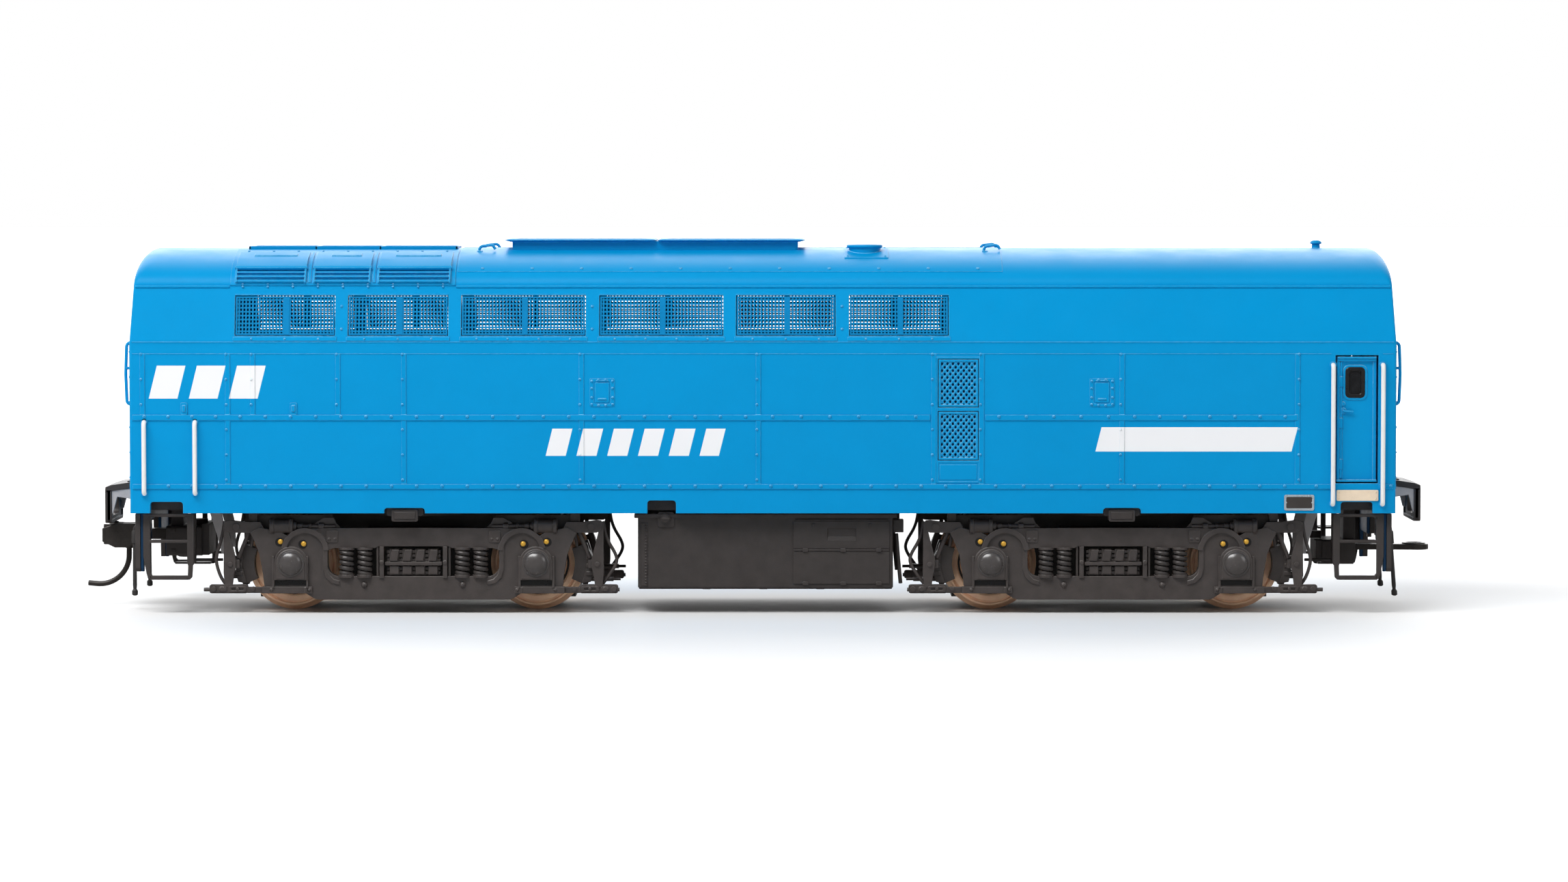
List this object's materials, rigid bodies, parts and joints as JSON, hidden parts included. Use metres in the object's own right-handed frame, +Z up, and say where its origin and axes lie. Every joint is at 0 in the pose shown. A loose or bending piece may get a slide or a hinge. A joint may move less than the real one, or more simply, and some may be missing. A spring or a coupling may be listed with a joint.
{
  "type": "model diesel locomotive",
  "caption": "Blue cab-less diesel booster locomotive model with screened windows, side doors, a fuel tank and powered swivelling trucks.",
  "frame": {"origin": "on the centreline, midway between the two truck pivots, at the top of the rails", "axes": "+X along the locomotive to its front, the end with the side doors; +Y across it to its left side; +Z up from the rail tops"},
  "size_m": [0.1918, 0.0372, 0.0525],
  "materials": {
    "body_paint": "satin light-blue enamel",
    "handrail_white": "semi-gloss white",
    "screen_mesh": "satin light-blue etched mesh",
    "underframe_black": "satin moulded black-brown",
    "truck_black": "satin moulded black-brown",
    "gearbox_plastic": "satin moulded black",
    "gear_plastic": "natural acetal",
    "cast_metal": "blackened die casting",
    "steel": "turned",
    "brass": "turned",
    "wheel_metal": "nickel-bronze, turned",
    "coupler_metal": "blackened zinc",
    "board": "solder-masked circuit board"
  },
  "bodies": {
    "body": {"body_shell": "body_paint", "roof_louvre_hatch": "body_paint", "radiator_hatch": "body_paint", "exhaust_stack": "body_paint", "mushroom_vent": "body_paint", "window_screens_right": "screen_mesh", "window_screens_left": "screen_mesh", "side_door_right": "body_paint", "side_door_left": "body_paint", "handrail_right_end_outer": "handrail_white", "handrail_right_end_inner": "handrail_white", "handrail_right_door_inner": "handrail_white", "handrail_right_door_outer": "handrail_white", "handrail_left_end_outer": "handrail_white", "handrail_left_end_inner": "handrail_white", "handrail_left_door_inner": "handrail_white", "handrail_left_door_outer": "handrail_white", "chassis_frame": "cast_metal", "fuel_tank": "underframe_black", "motor": "cast_metal", "circuit_board": "board", "speaker": "underframe_black", "coupler_box_rear": "underframe_black", "drawbar_box_front": "underframe_black", "buffer_rear": "underframe_black", "buffer_front": "underframe_black", "pilot_rear": "underframe_black", "pilot_front": "underframe_black"},
    "rotor": {"motor_shaft": "steel", "flywheel_front": "brass", "flywheel_rear": "brass", "drive_shaft_front": "steel", "drive_shaft_rear": "steel"},
    "truck_front": {"gearbox_front": "gearbox_plastic", "worm_cover_front": "gearbox_plastic", "keeper_plate_front": "gearbox_plastic", "sideframe_front_right": "truck_black", "sideframe_front_left": "truck_black"},
    "worm_front": {"worm_front": "steel"},
    "worm_gear_front": {"worm_gear_front": "gear_plastic"},
    "transfer_gear_front": {"transfer_gear_front": "gear_plastic"},
    "idler_front_inner": {"idler_gear_front_inner": "gear_plastic"},
    "wheelset_front_inner": {"wheelset_front_inner": "wheel_metal"},
    "idler_front_outer": {"idler_gear_front_outer": "gear_plastic"},
    "wheelset_front_outer": {"wheelset_front_outer": "wheel_metal"},
    "truck_rear": {"gearbox_rear": "gearbox_plastic", "worm_cover_rear": "gearbox_plastic", "keeper_plate_rear": "gearbox_plastic", "sideframe_rear_right": "truck_black", "sideframe_rear_left": "truck_black"},
    "worm_rear": {"worm_rear": "steel"},
    "worm_gear_rear": {"worm_gear_rear": "gear_plastic"},
    "transfer_gear_rear": {"transfer_gear_rear": "gear_plastic"},
    "idler_rear_inner": {"idler_gear_rear_inner": "gear_plastic"},
    "wheelset_rear_inner": {"wheelset_rear_inner": "wheel_metal"},
    "idler_rear_outer": {"idler_gear_rear_outer": "gear_plastic"},
    "wheelset_rear_outer": {"wheelset_rear_outer": "wheel_metal"},
    "coupler": {"coupler": "coupler_metal"},
    "coupler_knuckle": {"coupler_knuckle": "coupler_metal"},
    "drawbar": {"drawbar": "coupler_metal"}
  },
  "joints": [
    {"name": "motor_spin", "type": "hinge", "parent": "body", "child": "rotor", "pos_m": [0, 0, 0.0213], "axis": [1, 0, 0], "continuous": true},
    {"name": "truck_front_swivel", "type": "hinge", "parent": "body", "child": "truck_front", "pos_m": [0.0491, 0, 0.0139], "axis": [0, 0, 1], "range_deg": [-8, 8]},
    {"name": "worm_front_spin", "type": "hinge", "parent": "truck_front", "child": "worm_front", "pos_m": [0.0491, 0, 0.0213], "axis": [1, 0, 0], "continuous": true},
    {"name": "worm_gear_front_spin", "type": "hinge", "parent": "truck_front", "child": "worm_gear_front", "pos_m": [0.0491, 0, 0.0152], "axis": [0, 1, 0], "continuous": true},
    {"name": "transfer_gear_front_spin", "type": "hinge", "parent": "truck_front", "child": "transfer_gear_front", "pos_m": [0.0491, 0, 0.0072], "axis": [0, 1, 0], "continuous": true},
    {"name": "idler_front_inner_spin", "type": "hinge", "parent": "truck_front", "child": "idler_front_inner", "pos_m": [0.04035, 0, 0.007], "axis": [0, 1, 0], "continuous": true},
    {"name": "wheelset_front_inner_spin", "type": "hinge", "parent": "truck_front", "child": "wheelset_front_inner", "pos_m": [0.0319, 0, 0.0061], "axis": [0, 1, 0], "continuous": true},
    {"name": "idler_front_outer_spin", "type": "hinge", "parent": "truck_front", "child": "idler_front_outer", "pos_m": [0.05785, 0, 0.007], "axis": [0, 1, 0], "continuous": true},
    {"name": "wheelset_front_outer_spin", "type": "hinge", "parent": "truck_front", "child": "wheelset_front_outer", "pos_m": [0.0663, 0, 0.0061], "axis": [0, 1, 0], "continuous": true},
    {"name": "truck_rear_swivel", "type": "hinge", "parent": "body", "child": "truck_rear", "pos_m": [-0.0491, 0, 0.0139], "axis": [0, 0, 1], "range_deg": [-8, 8]},
    {"name": "worm_rear_spin", "type": "hinge", "parent": "truck_rear", "child": "worm_rear", "pos_m": [-0.0491, 0, 0.0213], "axis": [1, 0, 0], "continuous": true},
    {"name": "worm_gear_rear_spin", "type": "hinge", "parent": "truck_rear", "child": "worm_gear_rear", "pos_m": [-0.0491, 0, 0.0152], "axis": [0, 1, 0], "continuous": true},
    {"name": "transfer_gear_rear_spin", "type": "hinge", "parent": "truck_rear", "child": "transfer_gear_rear", "pos_m": [-0.0491, 0, 0.0072], "axis": [0, 1, 0], "continuous": true},
    {"name": "idler_rear_inner_spin", "type": "hinge", "parent": "truck_rear", "child": "idler_rear_inner", "pos_m": [-0.04035, 0, 0.007], "axis": [0, 1, 0], "continuous": true},
    {"name": "wheelset_rear_inner_spin", "type": "hinge", "parent": "truck_rear", "child": "wheelset_rear_inner", "pos_m": [-0.0319, 0, 0.0061], "axis": [0, 1, 0], "continuous": true},
    {"name": "idler_rear_outer_spin", "type": "hinge", "parent": "truck_rear", "child": "idler_rear_outer", "pos_m": [-0.05785, 0, 0.007], "axis": [0, 1, 0], "continuous": true},
    {"name": "wheelset_rear_outer_spin", "type": "hinge", "parent": "truck_rear", "child": "wheelset_rear_outer", "pos_m": [-0.0663, 0, 0.0061], "axis": [0, 1, 0], "continuous": true},
    {"name": "coupler_swing", "type": "hinge", "parent": "body", "child": "coupler", "pos_m": [-0.0825, 0, 0.0096], "axis": [0, 0, 1], "range_deg": [-12, 12]},
    {"name": "knuckle_open", "type": "hinge", "parent": "coupler", "child": "coupler_knuckle", "pos_m": [-0.0929, 0.002, 0.0096], "axis": [0, 0, 1], "range_deg": [-30, 0]},
    {"name": "drawbar_swing", "type": "hinge", "parent": "body", "child": "drawbar", "pos_m": [0.081, 0, 0.00775], "axis": [0, 0, 1], "range_deg": [-12, 12]}
  ],
  "couplings": [
    {"joint": "worm_front_spin", "follows": "motor_spin", "ratio": 1},
    {"joint": "worm_gear_front_spin", "follows": "motor_spin", "ratio": -0.0625},
    {"joint": "transfer_gear_front_spin", "follows": "motor_spin", "ratio": 0.0625},
    {"joint": "idler_front_inner_spin", "follows": "motor_spin", "ratio": -0.052632},
    {"joint": "wheelset_front_inner_spin", "follows": "motor_spin", "ratio": 0.066667},
    {"joint": "idler_front_outer_spin", "follows": "motor_spin", "ratio": -0.052632},
    {"joint": "wheelset_front_outer_spin", "follows": "motor_spin", "ratio": 0.066667},
    {"joint": "worm_rear_spin", "follows": "motor_spin", "ratio": 1},
    {"joint": "worm_gear_rear_spin", "follows": "motor_spin", "ratio": -0.0625},
    {"joint": "transfer_gear_rear_spin", "follows": "motor_spin", "ratio": 0.0625},
    {"joint": "idler_rear_inner_spin", "follows": "motor_spin", "ratio": -0.052632},
    {"joint": "wheelset_rear_inner_spin", "follows": "motor_spin", "ratio": 0.066667},
    {"joint": "idler_rear_outer_spin", "follows": "motor_spin", "ratio": -0.052632},
    {"joint": "wheelset_rear_outer_spin", "follows": "motor_spin", "ratio": 0.066667}
  ]
}
